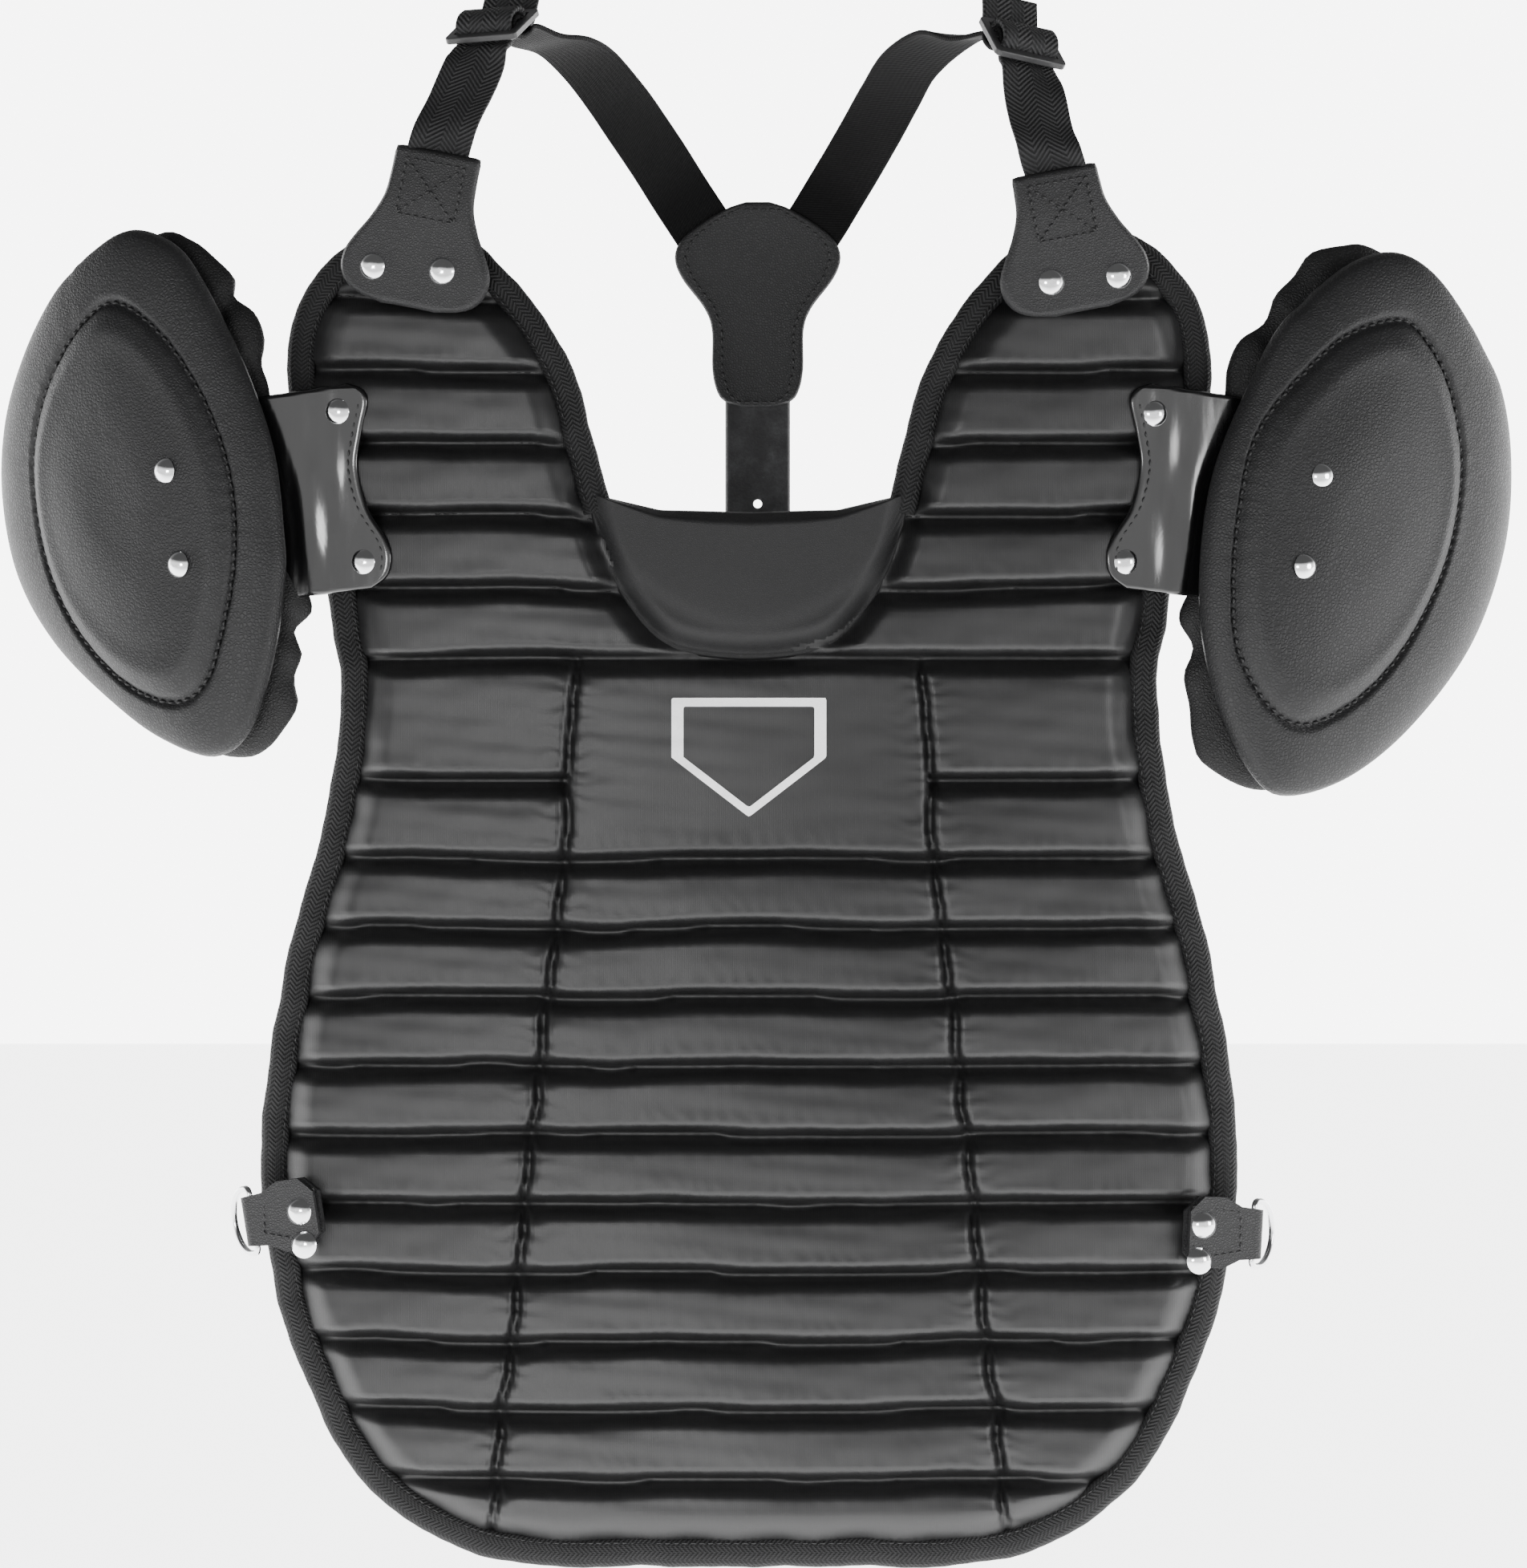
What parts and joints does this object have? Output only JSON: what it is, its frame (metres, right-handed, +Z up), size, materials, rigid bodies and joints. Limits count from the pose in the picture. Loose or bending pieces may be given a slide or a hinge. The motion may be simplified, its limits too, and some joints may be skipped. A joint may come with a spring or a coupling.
{
  "type": "padded chest protector",
  "caption": "Quilted padded chest protector with hinged leather shoulder caps on riveted flaps, bound edge, collar insert and a buckled elastic harness with a leather back strap.",
  "frame": {"origin": "middle of the chest panel's back face, where it rests on the wearer's chest", "axes": "+Z up, front faces -Y, the wearer is on the +Y side, +X to the right seen from the front"},
  "size_m": [0.5157, 0.1341, 0.5344],
  "materials": {
    "satin_nylon": "satin woven nylon",
    "lining": "matt mesh-backed nylon",
    "binding": "herringbone tape",
    "collar_vinyl": "matt smooth vinyl",
    "foam": "closed-cell foam",
    "white_print": "printed",
    "smooth_leather": "matt smooth leather",
    "pebbled_leather": "pebbled leather",
    "suede": "rough suede",
    "patent_plastic": "glossy sheet",
    "stiff_plastic": "moulded sheet",
    "soft_backing": "brushed nylon",
    "polished_steel": "plated steel",
    "webbing": "herringbone webbing",
    "elastic": "woven elastic",
    "buckle_plastic": "moulded"
  },
  "bodies": {
    "panel": {"back_lining": "lining", "centre_foam": "foam", "collar_insert": "collar_vinyl", "edge_binding": "binding", "flap_rivets": "polished_steel", "front_cover": "satin_nylon", "left_flap_inner": "patent_plastic", "left_shoulder_foam": "foam", "left_shoulder_tab": "smooth_leather", "left_side_foam": "foam", "left_side_tab": "smooth_leather", "printed_mark": "white_print", "right_flap_inner": "patent_plastic", "right_shoulder_foam": "foam", "right_shoulder_tab": "smooth_leather", "right_side_foam": "foam", "right_side_tab": "smooth_leather", "shoulder_tab_rivets": "polished_steel", "side_tab_rivets": "polished_steel"},
    "left_cap": {"left_cap_cover": "pebbled_leather", "left_cap_pad": "soft_backing", "left_cap_plate": "stiff_plastic", "left_cap_rivets": "polished_steel", "left_dome_foam": "foam", "left_flap_outer": "patent_plastic"},
    "right_cap": {"right_cap_cover": "pebbled_leather", "right_cap_pad": "soft_backing", "right_cap_plate": "stiff_plastic", "right_cap_rivets": "polished_steel", "right_dome_foam": "foam", "right_flap_outer": "patent_plastic"},
    "left_ring": {"left_d_ring": "polished_steel"},
    "right_ring": {"right_d_ring": "polished_steel"},
    "harness": {"left_buckle": "buckle_plastic", "left_elastic": "elastic", "left_webbing": "webbing", "right_buckle": "buckle_plastic", "right_elastic": "elastic", "right_webbing": "webbing", "yoke_patch_back": "smooth_leather", "yoke_patch_front": "smooth_leather"},
    "back_harness": {"back_strap": "suede", "left_waist_tail": "elastic", "lower_patch_back": "smooth_leather", "lower_patch_front": "smooth_leather", "right_waist_tail": "elastic", "waist_hooks": "polished_steel"}
  },
  "joints": [
    {"name": "left_cap_swing", "type": "hinge", "parent": "panel", "child": "left_cap", "pos_m": [-0.153, 0.01315, 0.1295], "axis": [-0.183, 0.0719, 0.9805], "range_deg": [-25, 25], "stiffness_Nm_per_rad": 0.4},
    {"name": "right_cap_swing", "type": "hinge", "parent": "panel", "child": "right_cap", "pos_m": [0.15325, 0.0132, 0.1295], "axis": [0.1893, 0.0731, 0.9792], "range_deg": [-25, 25], "stiffness_Nm_per_rad": 0.4},
    {"name": "left_ring_swing", "type": "hinge", "parent": "panel", "child": "left_ring", "pos_m": [-0.1676, 0.01724, -0.1145], "axis": [-0.1564, 0, 0.9877], "range_deg": [-20, 110]},
    {"name": "right_ring_swing", "type": "hinge", "parent": "panel", "child": "right_ring", "pos_m": [0.1705, 0.01852, -0.119], "axis": [0.0523, 0, 0.9986], "range_deg": [-110, 20]},
    {"name": "harness_lift", "type": "hinge", "parent": "panel", "child": "harness", "pos_m": [0, -0.0015, 0.2445], "axis": [0.9996, 0, -0.0284], "range_deg": [-4, 60]},
    {"name": "back_strap_swing", "type": "hinge", "parent": "harness", "child": "back_harness", "pos_m": [0.0029, 0.116, 0.1636], "axis": [1, 0, 0], "range_deg": [-8, 45]}
  ]
}
